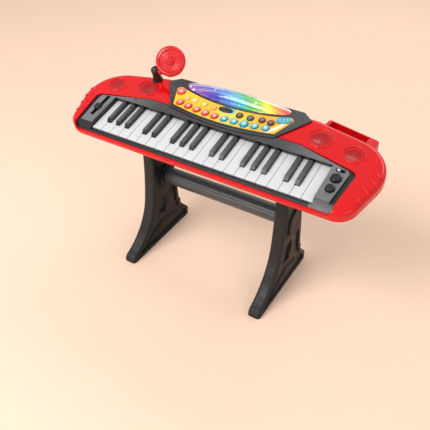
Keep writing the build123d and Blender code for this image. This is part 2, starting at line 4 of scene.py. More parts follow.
import bmesh
import bpy
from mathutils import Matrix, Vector


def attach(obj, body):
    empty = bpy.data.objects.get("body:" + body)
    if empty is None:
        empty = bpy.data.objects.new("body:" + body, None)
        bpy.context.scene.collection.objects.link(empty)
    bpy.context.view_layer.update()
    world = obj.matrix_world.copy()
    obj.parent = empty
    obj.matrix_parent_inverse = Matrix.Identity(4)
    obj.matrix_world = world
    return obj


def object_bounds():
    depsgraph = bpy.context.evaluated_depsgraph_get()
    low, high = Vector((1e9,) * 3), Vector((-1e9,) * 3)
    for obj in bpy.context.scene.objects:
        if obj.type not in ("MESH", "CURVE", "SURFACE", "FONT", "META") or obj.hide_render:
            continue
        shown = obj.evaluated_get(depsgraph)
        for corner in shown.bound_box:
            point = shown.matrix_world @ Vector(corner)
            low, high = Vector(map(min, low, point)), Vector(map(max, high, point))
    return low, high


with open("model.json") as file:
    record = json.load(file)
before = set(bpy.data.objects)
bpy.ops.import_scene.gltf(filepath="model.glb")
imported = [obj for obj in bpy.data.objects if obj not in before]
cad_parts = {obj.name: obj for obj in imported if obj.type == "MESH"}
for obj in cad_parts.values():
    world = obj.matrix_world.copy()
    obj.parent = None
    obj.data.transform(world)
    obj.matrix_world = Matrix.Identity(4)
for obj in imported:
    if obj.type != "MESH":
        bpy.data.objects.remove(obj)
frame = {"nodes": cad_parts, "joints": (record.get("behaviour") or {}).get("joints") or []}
cad_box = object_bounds()
nodes = frame["nodes"]
joints = {joint["name"]: joint for joint in frame["joints"]}
MM = 0.001

# The deck frame: x along the keys, v up the tilted deck away from the player, h above the white key tops.
DECK_RIGHT = Vector((1, 0, 0))
DECK_UP = Vector(joints["mic_arm_swing"]["axis"]).normalized()
DECK_BACK = Vector(joints["pitch_slide"]["axis"]).normalized()
KEY_PIVOT_V, KEY_PIVOT_H = 100.0, -6.0
pivot = Vector(joints["white_key_01_press"]["pos_m"])
DECK_ORIGIN = pivot - DECK_BACK * KEY_PIVOT_V * MM - DECK_UP * KEY_PIVOT_H * MM


def deck(x, v, h):
    """Point in the row frame, in metres, from deck coordinates in millimetres."""
    return DECK_ORIGIN + DECK_RIGHT * x * MM + DECK_BACK * v * MM + DECK_UP * h * MM


# --- Node graph helpers ---------------------------------------------------------------------------
class Graph:
    """A material's node tree, with short calls for the nodes used here."""

    def __init__(self, name):
        self.material = bpy.data.materials.new(name)
        self.material.use_nodes = True
        self.tree = self.material.node_tree
        self.shader = self.tree.nodes["Principled BSDF"]

    def put(self, socket, value):
        if isinstance(value, bpy.types.NodeSocket):
            self.tree.links.new(value, socket)
        elif value is not None:
            socket.default_value = value

    def node(self, kind, inputs=(), **settings):
        made = self.tree.nodes.new(kind)
        for key, value in settings.items():
            setattr(made, key, value)
        for key, value in dict(inputs).items():
            self.put(made.inputs[key], value)
        return made

    def math(self, operation, a, b=None):
        made = self.node("ShaderNodeMath", operation=operation)
        for socket, value in zip(made.inputs, (a, b)):
            self.put(socket, value)
        return made.outputs[0]

    def mix(self, factor, a, b):
        made = self.node("ShaderNodeMix", data_type="RGBA")
        self.put(made.inputs["Factor"], factor)
        self.put(made.inputs["A"], a)
        self.put(made.inputs["B"], b)
        return made.outputs["Result"]

    def place(self):
        """Object coordinates, which are the row frame at rest."""
        return self.node("ShaderNodeTexCoord").outputs["Object"]

    def project(self, origin, axes):
        """Distances from an origin along each axis, in millimetres."""
        offset = self.node("ShaderNodeVectorMath", operation="SUBTRACT")
        self.put(offset.inputs[0], self.place())
        offset.inputs[1].default_value = origin
        found = []
        for axis in axes:
            dot = self.node("ShaderNodeVectorMath", operation="DOT_PRODUCT")
            self.put(dot.inputs[0], offset.outputs[0])
            dot.inputs[1].default_value = axis / MM
            found.append(dot.outputs["Value"])
        return found

    def deck_place(self):
        """(x, v, h) sockets in millimetres."""
        return self.project(DECK_ORIGIN, (DECK_RIGHT, DECK_BACK, DECK_UP))

    def noise(self, scale, detail=3.0, roughness=0.5, place=None):
        made = self.node("ShaderNodeTexNoise", {"Scale": scale, "Detail": detail, "Roughness": roughness})
        self.put(made.inputs["Vector"], place or self.place())
        return made.outputs["Fac"]

    def cells(self, scale):
        """Distance to the nearest of many scattered points."""
        made = self.node("ShaderNodeTexVoronoi", {"Scale": scale, "Randomness": 1.0})
        self.put(made.inputs["Vector"], self.place())
        return made.outputs["Distance"]

    def remap(self, value, low, high, out_low, out_high):
        inputs = {"Value": value, "From Min": low, "From Max": high, "To Min": out_low, "To Max": out_high}
        return self.node("ShaderNodeMapRange", inputs).outputs["Result"]

    def bump(self, height, distance, strength=1.0, normal=None):
        made = self.node("ShaderNodeBump", {"Height": height, "Distance": distance, "Strength": strength})
        self.put(made.inputs["Normal"], normal)
        return made.outputs["Normal"]

    def bevelled(self, radius=0.0007):
        """Normal with the sharp moulded edges rounded over a radius in metres."""
        made = self.node("ShaderNodeBevel", samples=4)
        made.inputs["Radius"].default_value = radius
        return made.outputs["Normal"]

    def below(self, value, edge, soft=0.3):
        """1 where value is under edge, 0 above it, with a soft border."""
        return self.remap(value, edge - soft / 2, edge + soft / 2, 1.0, 0.0)

    def band(self, value, middle, half_width, soft=0.3):
        """1 where value is within half_width of middle, 0 beyond it, with a soft border."""
        return self.below(self.math("ABSOLUTE", self.math("SUBTRACT", value, middle)), half_width, soft)

    def angle(self, x, v, centre):
        """Angle round a centre, in radians."""
        return self.math("ARCTAN2", self.math("SUBTRACT", v, centre[1]), self.math("SUBTRACT", x, centre[0]))

    def away(self, x, v, centre):
        """Distance in the deck plane from a centre."""
        across = self.math("SUBTRACT", x, centre[0])
        along = self.math("SUBTRACT", v, centre[1])
        total = self.math("ADD", self.math("MULTIPLY", across, across), self.math("MULTIPLY", along, along))
        return self.math("SQRT", total)

    def box_distance(self, x, v, centre, half, radius):
        """Signed distance to a rounded rectangle."""
        past = []
        for value, middle, reach in zip((x, v), centre, half):
            off = self.math("ABSOLUTE", self.math("SUBTRACT", value, middle))
            past.append(self.math("SUBTRACT", off, reach - radius))
        across, along = past
        outside_x = self.math("MAXIMUM", across, 0.0)
        outside_v = self.math("MAXIMUM", along, 0.0)
        square = self.math("ADD", self.math("MULTIPLY", outside_x, outside_x),
                           self.math("MULTIPLY", outside_v, outside_v))
        inside = self.math("MINIMUM", self.math("MAXIMUM", across, along), 0.0)
        return self.math("SUBTRACT", self.math("ADD", self.math("SQRT", square), inside), radius)

    def ramp(self, value, stops, interpolation="LINEAR"):
        made = self.node("ShaderNodeValToRGB")
        made.color_ramp.interpolation = interpolation
        elements = made.color_ramp.elements
        while len(elements) < len(stops):
            elements.new(0.5)
        for element, (position, colour) in zip(elements, stops):
            element.position = position
            element.color = colour
        self.put(made.inputs["Fac"], value)
        return made.outputs["Color"]

    def joined(self, operation, values):
        """One value from several, taken two at a time."""
        total = values[0]
        for value in values[1:]:
            total = self.math(operation, total, value)
        return total

    def any_of(self, masks):
        """1 where any of the masks is 1."""
        return self.joined("MAXIMUM", masks)

    def tint(self, base, mask, share, colour):
        """The base with up to a share of a colour over it where the mask is 1."""
        return self.mix(self.math("MULTIPLY", mask, share), base, colour)

    def finish(self, **values):
        for key, value in values.items():
            self.put(self.shader.inputs[key.replace("_", " ").title().replace("Ior", "IOR")], value)
        return self.material


def linear(red, green, blue):
    """Linear colour from 0-255 screen values."""
    channels = []
    for value in (red, green, blue):
        share = value / 255
        channels.append(share / 12.92 if share <= 0.04045 else ((share + 0.055) / 1.055) ** 2.4)
    return (*channels, 1.0)


def skinned(g, base, roughness, coat=0.0, grain=900.0, grain_depth=0.00002, relief=None, spread=1.35):
    """Shared plastic surface: uneven gloss, fine moulding texture and softened edges."""
    smudge = g.noise(38.0, 5.0, 0.6)
    gloss = g.remap(smudge, 0.35, 0.7, roughness / spread, roughness * spread)
    rounded = g.bevelled()
    if relief is not None:
        rounded = g.bump(relief, 0.001, 1.0, rounded)
    skin = g.bump(g.noise(grain, 3.0), grain_depth, 0.5, rounded)
    return g.finish(base_color=base, roughness=gloss, normal=skin, coat_weight=coat)


def drifting(g, colour, amount, scale=9.0):
    """A colour with a slight darker and lighter drift."""
    darker = tuple(channel * (1 - amount) for channel in colour[:3]) + (1.0,)
    lighter = tuple(min(1.0, channel * (1 + amount)) for channel in colour[:3]) + (1.0,)
    return g.mix(g.remap(g.noise(scale, 5.0, 0.6), 0.3, 0.7, 0.0, 1.0), darker, lighter)


def moulded_plastic(name, colour, roughness, coat=0.0, grain=900.0, grain_depth=0.00002, mottling=0.06,
                    spread=1.35):
    """Injection-moulded plastic in one colour."""
    g = Graph(name)
    return skinned(g, drifting(g, colour, mottling), roughness, coat, grain, grain_depth, None, spread)


def paint(material, *names):
    for name in names:
        for slot in nodes[name].material_slots:
            slot.material = material


WHITE = (1.0, 1.0, 1.0, 1.0)
BLACK = linear(22, 22, 24)
RED = linear(212, 6, 14)
# Darker red painted as shade: in the speaker dishes and round the rim of the mic face.
SHADE_RED = linear(142, 4, 10)
CHARCOAL = linear(40, 40, 40)
SPEAKERS = ((-177, 126, 1.0), (-241, 112, 0.85), (177, 126, 1.0), (241, 112, 0.85))
SPEAKER_RING_PITCH = 4.3
KNOB_X, LEVER_X = 236.5, -234.0
ROW_PITCH, ROW_SHIFT = 19.6, -4.8
SMALL_PLACES = ((86.0, 122.5), (69.0, 123.0), (47.5, 120.0), (26.5, 119.0))
PLAY_PLACE, DRUM_PLACE, DRUM_TURN = (-107.5, 136.0), (104.0, 136.5), 22.0
DISPLAY_PLACE = (-4.0, 122.8)


def row_place(step):
    """Place of a button in the curved row, steps being counted from the middle."""
    x = step * ROW_PITCH + ROW_SHIFT
    return x, 100.8 + 8.0 * (x / 90) ** 2


RED_PLACES = [row_place(n - 4.5) for n in range(5)]
TEAL_PLACES = [row_place(n + 0.5) for n in range(5)]


def shell_material():
    """Glossy red casing with pressed speaker rings, and painted shade making a darker dish in each."""
    g = Graph("red_casing")
    x, v, h = g.deck_place()
    rings, dish_shade = [], []
    for cx, cv, size in SPEAKERS:
        away = g.away(x, v, (cx, cv))
        wave = g.math("SINE", g.math("MULTIPLY", away, 2 * math.pi / (SPEAKER_RING_PITCH * size)))
        rings.append(g.math("MULTIPLY", g.below(away, 21.0 * size, 1.2), wave))
        dish_shade.append(g.below(away, 17.0 * size, 7.0))
    top = g.below(g.math("MULTIPLY", h, -1.0), -5.5, 1.5)
    relief = g.math("MULTIPLY", g.math("MULTIPLY", g.joined("ADD", rings), top), 0.09)
    base = drifting(g, RED, 0.07, 6.0)
    # Painted shade: each speaker dish is tinted a darker red.
    base = g.tint(base, g.math("MULTIPLY", g.any_of(dish_shade), top), 0.7, SHADE_RED)
    g.shader.inputs["Specular IOR Level"].default_value = 0.35
    return skinned(g, base, 0.22, 0.12, 1400.0, 0.000008, relief)


def surround_material():
    """Gray tops on a black moulding, with printed ticks, painted shade making the slot rim, the switch rim,
    the knob seats and a small hole black, and painted light on the front slope: paler low down, darker at the
    top.
    """
    g = Graph("surround_plastic")
    x, v, h = g.deck_place()
    top = g.remap(h, 8.2, 8.8, 0.0, 1.0)
    centre = g.remap(g.math("ABSOLUTE", x), 120.0, 215.0, 0.0, 1.0)
    gray = g.mix(centre, linear(58, 58, 61), linear(112, 112, 116))
    gray = g.mix(g.remap(g.noise(14.0, 5.0), 0.3, 0.7, 0.0, 0.2), gray, linear(80, 81, 85))
    tick = g.math("PINGPONG", g.math("SUBTRACT", v, 22.0), 2.5)
    printed = g.below(g.box_distance(x, v, (-241.6, 47.0), (2.2, 24.5), 0.4), 0)
    ticks = g.math("MULTIPLY", g.below(tick, 0.35, 0.15), printed)
    gray = g.tint(gray, ticks, 0.7, linear(205, 205, 208))
    slot_rim = g.below(g.box_distance(x, v, (LEVER_X, 47.0), (4.2, 28.6), 4.0), 0, 0.3)
    switch_rim = g.below(g.box_distance(x, v, (KNOB_X, 69.0), (8.6, 4.0), 3.9), 0, 0.3)
    seats = [g.below(g.away(x, v, (KNOB_X, 50.0)), 9.6), g.below(g.away(x, v, (KNOB_X, 27.0)), 8.3)]
    small_hole = g.below(g.away(x, v, (-178.0, 85.5)), 2.2)
    # Painted shade: the recessed rims round the lever slot and the switch, the knob seats and a small hole
    # are painted black.
    recess_shade = g.any_of([slot_rim, switch_rim, small_hole] + seats)
    gray = g.mix(recess_shade, gray, BLACK)
    # Painted light on the right end's front slope: paler at its foot, darker towards its top.
    slope = g.math("MULTIPLY", g.below(v, 3.2, 0.4), g.remap(x, 215.0, 216.0, 0.0, 1.0))
    slope_shading = g.mix(g.remap(h, -4.0, 8.0, 0.0, 1.0), linear(104, 104, 108), linear(66, 66, 70))
    base = g.mix(top, BLACK, gray)
    base = g.mix(slope, base, slope_shading)
    relief = g.math("MULTIPLY", g.any_of([slot_rim, switch_rim]), -0.4)
    return skinned(g, base, 0.42, 0.05, 1200.0, 0.000018, relief)


def sheet_material():
    """Printed control sheet: yellow to orange, teal flecks, a bright swoosh and a ring round each button."""
    g = Graph("sheet_print")
    x, v, _ = g.deck_place()
    cloudy = g.remap(g.noise(22.0, 4.0), 0.35, 0.7, 0.0, 0.32)
    blend = g.math("ADD", g.remap(x, -120.0, 125.0, 0.0, 0.55), cloudy)
    base = g.mix(blend, linear(253, 214, 50), linear(244, 160, 22))
    base = g.tint(base, g.below(g.away(x, v, (12.0, 112.0)), 26.0, 34.0), 0.6, linear(250, 232, 70))
    fleck = g.below(g.cells(95.0), 0.34, 0.08)
    sparse = g.remap(g.noise(31.0, 2.0), 0.53, 0.58, 0.0, 1.0)
    teal = g.mix(g.noise(47.0, 1.0), linear(90, 200, 190), linear(150, 205, 90))
    base = g.tint(base, g.math("MULTIPLY", fleck, sparse), 0.75, teal)
    patch = g.below(g.box_distance(x, v, (0.0, 124.0), (15.0, 7.5), 7.0), 0, 2.0)
    base = g.tint(base, patch, 0.85, linear(100, 196, 206))
    star_place = TEAL_PLACES[2]
    points = g.math("MULTIPLY", g.math("SINE", g.math("MULTIPLY", g.angle(x, v, star_place), 8.0)), 1.2)
    star = g.below(g.math("ADD", g.away(x, v, star_place), points), 9.4, 0.5)
    base = g.mix(star, base, linear(38, 168, 190))
    swoosh = g.math("MULTIPLY", g.band(g.away(x, v, (44.0, 150.0)), 66.0, 3.4, 1.2),
                    g.remap(x, 80.0, 96.0, 0.0, 1.0))
    base = g.tint(base, swoosh, 0.85, linear(250, 244, 225))
    stripe = g.math("MULTIPLY", g.band(g.away(x, v, (-60.0, 66.0)), 40.0, 1.2, 0.6), g.below(v, 104.0, 2.0))
    base = g.tint(base, stripe, 0.7, linear(70, 180, 175))
    red_rims = [g.band(g.away(x, v, place), 7.7, 0.55) for place in RED_PLACES]
    base = g.tint(base, g.any_of(red_rims), 0.8, linear(190, 38, 30))
    teal_rims = [g.band(g.away(x, v, place), 7.7, 0.5) for place in TEAL_PLACES]
    base = g.tint(base, g.any_of(teal_rims), 0.75, linear(40, 150, 150))
    return skinned(g, base, 0.3, 0.3, 700.0, 0.000006, None, 1.2)


def row_buttons(name, cap, light, places, big_places):
    """Caps with a painted highlight making the centre paler, and a different generic mark on each."""
    g = Graph(name)
    x, v, _ = g.deck_place()
    base = drifting(g, cap, 0.08, 40.0)
    painted_highlights, marks, rims = [], [], []
    caps = [(place, 1.0) for place in places] + [(place, 1.3) for place in big_places]
    for number, (place, size) in enumerate(caps):
        away = g.away(x, v, place)
        petals = g.math("SINE", g.math("MULTIPLY", g.angle(x, v, place), float(2 + number % 4)))
        outline = g.math("ADD", away, g.math("MULTIPLY", petals, 0.95 * size))
        painted_highlights.append(g.below(away, 4.6 * size, 1.8))
        marks.append(g.below(outline, 2.5 * size, 0.5))
        rims.append(g.band(away, 5.0 * size, 0.3))
    # Painted highlight: a soft paler centre on each cap.
    base = g.tint(base, g.any_of(painted_highlights), 0.2, light)
    base = g.tint(base, g.any_of(rims), 0.55, light)
    base = g.tint(base, g.any_of(marks), 0.95, light)
    relief = g.math("MULTIPLY", g.any_of(marks), 0.12)
    return g, base, relief


def red_button_material():
    """Red caps of the left row and the large round one."""
    cap, light = linear(214, 28, 30), linear(255, 214, 206)
    g, base, relief = row_buttons("red_caps", cap, light, RED_PLACES, [PLAY_PLACE])
    return skinned(g, base, 0.22, 0.5, 1100.0, 0.000006, relief)


def teal_button_material():
    """Teal caps of the right row and the long one, which has a rim and three dots."""
    cap, light = linear(22, 152, 176), linear(214, 244, 246)
    g, base, relief = row_buttons("teal_caps", cap, light, TEAL_PLACES, [])
    x, v, _ = g.deck_place()
    turn = math.radians(DRUM_TURN)
    cosine, sine = math.cos(turn), math.sin(turn)
    across = g.math("SUBTRACT", x, DRUM_PLACE[0])
    along = g.math("SUBTRACT", v, DRUM_PLACE[1])
    length = g.math("ADD", g.math("MULTIPLY", across, cosine), g.math("MULTIPLY", along, sine))
    width = g.math("SUBTRACT", g.math("MULTIPLY", along, cosine), g.math("MULTIPLY", across, sine))
    near = g.below(g.box_distance(length, width, (0.0, 0.0), (13.6, 6.4), 6.2), 0.3)
    rim = g.below(g.math("ABSOLUTE", g.box_distance(length, width, (0.0, 0.0), (12.2, 5.1), 5.0)), 0.35)
    dots = g.any_of([g.below(g.away(length, width, (place, 0.0)), 1.5) for place in (-6.5, 0.0, 6.5)])
    marks = g.math("MULTIPLY", near, g.any_of([rim, dots]))
    base = g.tint(base, marks, 0.85, linear(226, 246, 246))
    return skinned(g, base, 0.22, 0.5, 1100.0, 0.000006, relief)


def small_button_material():
    """Pale caps on the left, dark ones on the right, each with a ring and a centre dot."""
    g = Graph("small_caps")
    x, v, _ = g.deck_place()
    colours = (
        (-88.0, (232, 190, 120)), (-69.0, (250, 226, 160)), (-47.5, (246, 214, 120)), (-26.5, (240, 176, 92)),
        (26.5, (84, 22, 16)), (47.5, (12, 60, 70)), (69.0, (84, 44, 16)), (88.0, (76, 20, 24)),
    )
    stops = [(max(0.0, (place - 9.0 + 100) / 200), linear(*colour)) for place, colour in colours]
    base = g.ramp(g.remap(x, -100.0, 100.0, 0.0, 1.0), stops, "CONSTANT")
    base = g.mix(g.remap(g.noise(60.0, 4.0), 0.3, 0.7, 0.0, 0.12), base, BLACK)
    places = [(-px, pv) for px, pv in SMALL_PLACES] + list(SMALL_PLACES)
    away = [g.away(x, v, place) for place in places]
    rings = g.any_of([g.band(distance, 3.2, 0.35) for distance in away])
    dots = g.any_of([g.below(distance, 1.5, 0.5) for distance in away])
    base = g.tint(base, g.any_of([rings, dots]), 0.4, linear(240, 226, 206))
    return skinned(g, base, 0.2, 0.5, 1100.0, 0.000006, g.math("MULTIPLY", dots, 0.1))


def dome_material():
    """Clear light cover over a rainbow print, whiter towards the back, with sparkles and thin curves."""
    g = Graph("rainbow_dome")
    x, v, _ = g.deck_place()
    warp = g.remap(g.noise(16.0, 5.0, 0.65), 0.25, 0.75, -9.0, 9.0)
    lean = g.math("ADD", x, g.math("MULTIPLY", g.math("SUBTRACT", v, 151.0), 0.9))
    hue = g.remap(g.math("ADD", lean, warp), -104.0, 106.0, 0.0, 1.0)
    stops = ((0.0, (150, 70, 190)), (0.16, (110, 52, 170)), (0.3, (52, 62, 176)), (0.42, (24, 120, 206)),
             (0.52, (20, 170, 196)), (0.62, (40, 172, 70)), (0.72, (140, 204, 40)), (0.82, (250, 226, 30)),
             (0.9, (246, 140, 36)), (1.0, (232, 60, 40)))
    base = g.ramp(hue, [(place, linear(*colour)) for place, colour in stops])
    streak_place = g.node("ShaderNodeCombineXYZ")
    g.put(streak_place.inputs[0], g.math("MULTIPLY", x, 0.012))
    g.put(streak_place.inputs[1], g.math("MULTIPLY", v, 0.16))
    streaks = g.noise(1.6, 5.0, 0.7, streak_place.outputs[0])
    base = g.mix(g.remap(streaks, 0.48, 0.8, 0.0, 0.4), base, WHITE)
    wavy = g.math("ADD", v, g.remap(g.noise(12.0, 4.0), 0.3, 0.7, -4.0, 4.0))
    fade = g.remap(wavy, 155.0, 170.0, 0.0, 0.95)
    base = g.mix(fade, base, linear(252, 246, 246))
    curve = g.math("MULTIPLY", g.math("SINE", g.math("MULTIPLY", x, 0.021)), 3.0)
    for offset, width in ((145.5, 0.35), (148.0, 0.25), (153.0, 0.3)):
        bent = g.math("ADD", v, g.math("MULTIPLY", curve, offset / 150))
        base = g.tint(base, g.band(bent, offset, width, 0.4), 0.6, WHITE)
    sparkle = g.below(g.cells(62.0), 0.16, 0.12)
    dust = g.math("MULTIPLY", g.below(g.cells(150.0), 0.13, 0.08), g.remap(v, 150.0, 160.0, 0.2, 1.0))
    base = g.mix(g.any_of([sparkle, g.math("MULTIPLY", dust, 0.8)]), base, WHITE)
    return skinned(g, base, 0.12, 0.8, 500.0, 0.000004, None, 1.3)


def white_key_material():
    """Glossy white plastic, with painted shade making it a little grayer at the back and down the sides."""
    g = Graph("white_key_plastic")
    _, v, h = g.deck_place()
    base = drifting(g, linear(210, 211, 214), 0.015, 11.0)
    # Painted shade towards the back of the keys.
    base = g.mix(g.remap(v, 60.0, 80.0, 0.0, 0.25), base, linear(196, 196, 199))
    # Painted shade down the sides and front of each key.
    base = g.mix(g.below(h, -1.2, 1.4), base, linear(190, 190, 194))
    return skinned(g, base, 0.2, 0.4, 1300.0, 0.000004)


def black_key_material():
    """Satin black plastic with a painted sheen making the tops gray, lighter at the front and darker towards
    the back, over black sides; painted shade makes the sloped front nose black.
    """
    g = Graph("black_key_plastic")
    _, v, h = g.deck_place()
    # Painted sheen: the tops are gray, the sides black.
    top = g.remap(h, 6.4, 7.3, 0.0, 1.0)
    # Painted sheen: lighter at the front of the top, darker towards the back.
    shade = g.mix(g.remap(v, 26.0, 74.0, 0.0, 1.0), linear(88, 90, 92), linear(44, 45, 48))
    shade = g.mix(g.remap(g.noise(120.0, 4.0), 0.35, 0.7, 0.0, 0.3), shade, linear(50, 52, 54))
    # Painted shade: the sloped front nose is black.
    shade = g.mix(g.remap(v, 23.5, 27.5, 0.0, 1.0), linear(15, 15, 17), shade)
    return skinned(g, g.mix(top, linear(15, 15, 17), shade), 0.3, 0.3, 1500.0, 0.000012)


def panel_material():
    """Dark satin plastic, grayer at both ends of the panel, with painted shade making it black down its
    sides.
    """
    g = Graph("panel_plastic")
    x, _, h = g.deck_place()
    ear = g.remap(g.math("ABSOLUTE", x), 96.0, 118.0, 0.0, 1.0)
    base = g.mix(ear, linear(38, 38, 41), linear(66, 66, 69))
    # Painted shade: black down the sides of the panel.
    base = g.mix(g.below(h, 10.6, 0.5), base, linear(16, 16, 18))
    return skinned(g, base, 0.38, 0.1, 1100.0, 0.00002)


MIC_TURN, MIC_LIFT = math.radians(27.0), math.radians(28.0)
MIC_JOINT = Vector(joints["mic_head_tilt"]["pos_m"])
MIC_CENTRE = MIC_JOINT + Vector((43.0, -8.0, 31.0)) * MM
MIC_LEVEL = math.cos(MIC_LIFT)
MIC_FACING = Vector((math.sin(MIC_TURN) * MIC_LEVEL, -math.cos(MIC_TURN) * MIC_LEVEL, math.sin(MIC_LIFT)))
MIC_SIDE = Vector((math.cos(MIC_TURN), math.sin(MIC_TURN), 0.0))
MIC_TOP = MIC_FACING.cross(MIC_SIDE) * -1.0


def mic_material():
    """Red head with pressed rings and sound holes on its face, on a black neck; the sound holes are painted
    dark as shade, and a ring of painted shade runs round the rim of the face.
    """
    g = Graph("mic_head_plastic")
    across, upward, depth = g.project(MIC_CENTRE, (MIC_SIDE, MIC_TOP, MIC_FACING))
    away = g.away(across, upward, (0.0, 0.0))
    front = g.remap(depth, 4.0, 6.0, 0.0, 1.0)
    rings = g.math("SINE", g.math("MULTIPLY", away, 2 * math.pi / 3.4))
    ring_zone = g.math("MULTIPLY", g.below(away, 20.0, 1.0), g.remap(away, 9.0, 10.0, 0.0, 1.0))
    relief = g.math("MULTIPLY", g.math("MULTIPLY", rings, ring_zone), g.math("MULTIPLY", front, 0.3))
    angle = g.math("ARCTAN2", upward, across)
    holes = []
    for radius, count in ((2.6, 6.0), (5.2, 10.0)):
        spot = g.math("COSINE", g.math("MULTIPLY", angle, count))
        band = g.band(away, radius, 0.75)
        holes.append(g.math("MULTIPLY", band, g.remap(spot, 0.2, 0.6, 0.0, 1.0)))
    hole = g.math("MULTIPLY", g.any_of(holes), front)
    base = drifting(g, linear(216, 10, 18), 0.06, 14.0)
    # Painted shade in a ring round the rim of the face.
    base = g.tint(base, g.math("MULTIPLY", g.band(away, 20.6, 0.7), front), 0.5, SHADE_RED)
    # Painted shade: the sound holes are painted as dark spots.
    base = g.tint(base, hole, 0.9, linear(70, 8, 12))
    neck = g.below(across, -28.6, 0.6)
    base = g.mix(neck, base, BLACK)
    return skinned(g, base, 0.26, 0.3, 1400.0, 0.000008, relief)


def board_material():
    """Green laminate with copper tracks."""
    g = Graph("board_laminate")
    x, v, _ = g.deck_place()
    tracks = g.any_of([g.below(g.math("PINGPONG", x, 3.1), 0.35), g.below(g.math("PINGPONG", v, 4.3), 0.35)])
    laminate = drifting(g, linear(24, 92, 48), 0.12, 30.0)
    patchy = g.remap(g.noise(60.0, 1.0), 0.45, 0.5, 0.0, 1.0)
    base = g.tint(laminate, tracks, patchy, linear(52, 128, 72))
    return skinned(g, base, 0.35, 0.2)


def leg_material():
    """Satin charcoal plastic, with painted shade making the faces that look left or right darker."""
    g = Graph("leg_plastic")
    split = g.node("ShaderNodeSeparateXYZ")
    g.put(split.inputs[0], g.node("ShaderNodeNewGeometry").outputs["Normal"])
    # Painted shade: faces that look left or right are darkened towards near black.
    sideways = g.remap(g.math("ABSOLUTE", split.outputs["X"]), 0.75, 0.95, 0.0, 0.8)
    base = g.mix(sideways, drifting(g, CHARCOAL, 0.1), linear(10, 10, 11))
    g.shader.inputs["Specular IOR Level"].default_value = 0.22
    return skinned(g, base, 0.42, 0.0, 1100.0, 0.00004)


def steel_material():
    """Bright screw steel."""
    g = Graph("screw_steel")
    base = drifting(g, linear(150, 150, 154), 0.15, 300.0)
    g.shader.inputs["Metallic"].default_value = 1.0
    return skinned(g, base, 0.32)


WHITE_KEYS = [name for name in nodes if name.startswith("white_key")]
BLACK_KEYS = [name for name in nodes if name.startswith("black_key")]
RED_CASING = shell_material()
BLACK_PLASTIC = moulded_plastic("black_plastic", BLACK, 0.3, 0.2)
LEG_PLASTIC = leg_material()
TUBE_PLASTIC = moulded_plastic("tube_plastic", linear(70, 70, 72), 0.34, 0.15, 1300.0, 0.00001, 0.05, 1.1)
paint(white_key_material(), *WHITE_KEYS)
paint(black_key_material(), *BLACK_KEYS)
paint(RED_CASING, "upper_shell")
paint(moulded_plastic("holder_plastic", RED, 0.26, 0.35, 1400.0, 0.000008), "phone_holder")
paint(mic_material(), "mic_head")
PAN_PLASTIC = moulded_plastic("pan_plastic", linear(44, 42, 40), 0.48, 0.0, 700.0, 0.00005, 0.1)
paint(PAN_PLASTIC, "lower_shell", "battery_door")
paint(LEG_PLASTIC, "right_leg", "left_leg")
paint(TUBE_PLASTIC, "crossbar")
paint(surround_material(), "key_surround")
paint(BLACK_PLASTIC, "volume_knob", "tempo_knob", "pitch_lever", "mic_arm")
paint(moulded_plastic("switch_plastic", linear(214, 216, 214), 0.25, 0.3), "power_switch")
paint(panel_material(), "panel_frame")
paint(sheet_material(), "panel_sheet")
paint(red_button_material(), "red_buttons")
paint(teal_button_material(), "teal_buttons")
paint(small_button_material(), "small_buttons")
paint(dome_material(), "light_dome")
paint(board_material(), "circuit_boards")
paint(moulded_plastic("speaker_paper", linear(34, 34, 36), 0.7, 0.0, 500.0, 0.00006), "speakers")
paint(steel_material(), "screws")


# --- Visual pieces --------------------------------------------------------------------------------
def keep(mesh, name, material, body="keyboard"):
    """Put a finished mesh in the scene, shaded smooth, on a body."""
    mesh.name = name
    for polygon in mesh.polygons:
        polygon.use_smooth = True
    made = bpy.data.objects.new(name, mesh)
    bpy.context.scene.collection.objects.link(made)
    mesh.materials.clear()
    mesh.materials.append(material)
    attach(made, body)


def bead(name, points, radii, material, body="keyboard"):
    """A rounded bead swept along points, thick or thin by the radii."""
    curve = bpy.data.curves.new(name, "CURVE")
    curve.dimensions = "3D"
    curve.bevel_depth = 1.0
    curve.bevel_resolution = 5
    curve.use_fill_caps = True
    spline = curve.splines.new("POLY")
    spline.points.add(len(points) - 1)
    for entry, point, radius in zip(spline.points, points, radii):
        entry.co = (*point, 1.0)
        entry.radius = radius
    holder = bpy.data.objects.new(name, curve)
    bpy.context.scene.collection.objects.link(holder)
    bpy.context.view_layer.update()
    mesh = bpy.data.meshes.new_from_object(holder)
    bpy.data.objects.remove(holder)
    keep(mesh, name, material, body)


def slab(name, outline, place, thickness, material, bevel):
    """A raised plate: outline points (a, b) put through place(a, b, level) in mm, with rounded top edges."""
    mesh = bpy.data.meshes.new(name)
    build = bmesh.new()
    count = len(outline)
    middle_a = sum(a for a, b in outline) / count
    middle_b = sum(b for a, b in outline) / count
    steps = ((0.0, 0.0), (thickness - bevel, 0.0), (thickness - bevel * 0.3, bevel * 0.3), (thickness, bevel))
    rings = []
    for level, inset in steps:
        ring = []
        for a, b in outline:
            share = 1.0 - inset / math.hypot(a - middle_a, b - middle_b)
            corner = place(middle_a + (a - middle_a) * share, middle_b + (b - middle_b) * share, level)
            ring.append(build.verts.new(corner))
        rings.append(ring)
    for low, high in zip(rings, rings[1:]):
        for i in range(count):
            build.faces.new((low[i], low[(i + 1) % count], high[(i + 1) % count], high[i]))
    build.faces.new(rings[-1])
    build.faces.new(list(reversed(rings[0])))
    bmesh.ops.recalc_face_normals(build, faces=build.faces)
    build.to_mesh(mesh)
    build.free()
    keep(mesh, name, material)


def oval(half_x, half_v, count=48):
    """Points of an oval outline round the origin."""
    turns = [2 * math.pi * i / count for i in range(count)]
    return [(half_x * math.cos(turn), half_v * math.sin(turn)) for turn in turns]


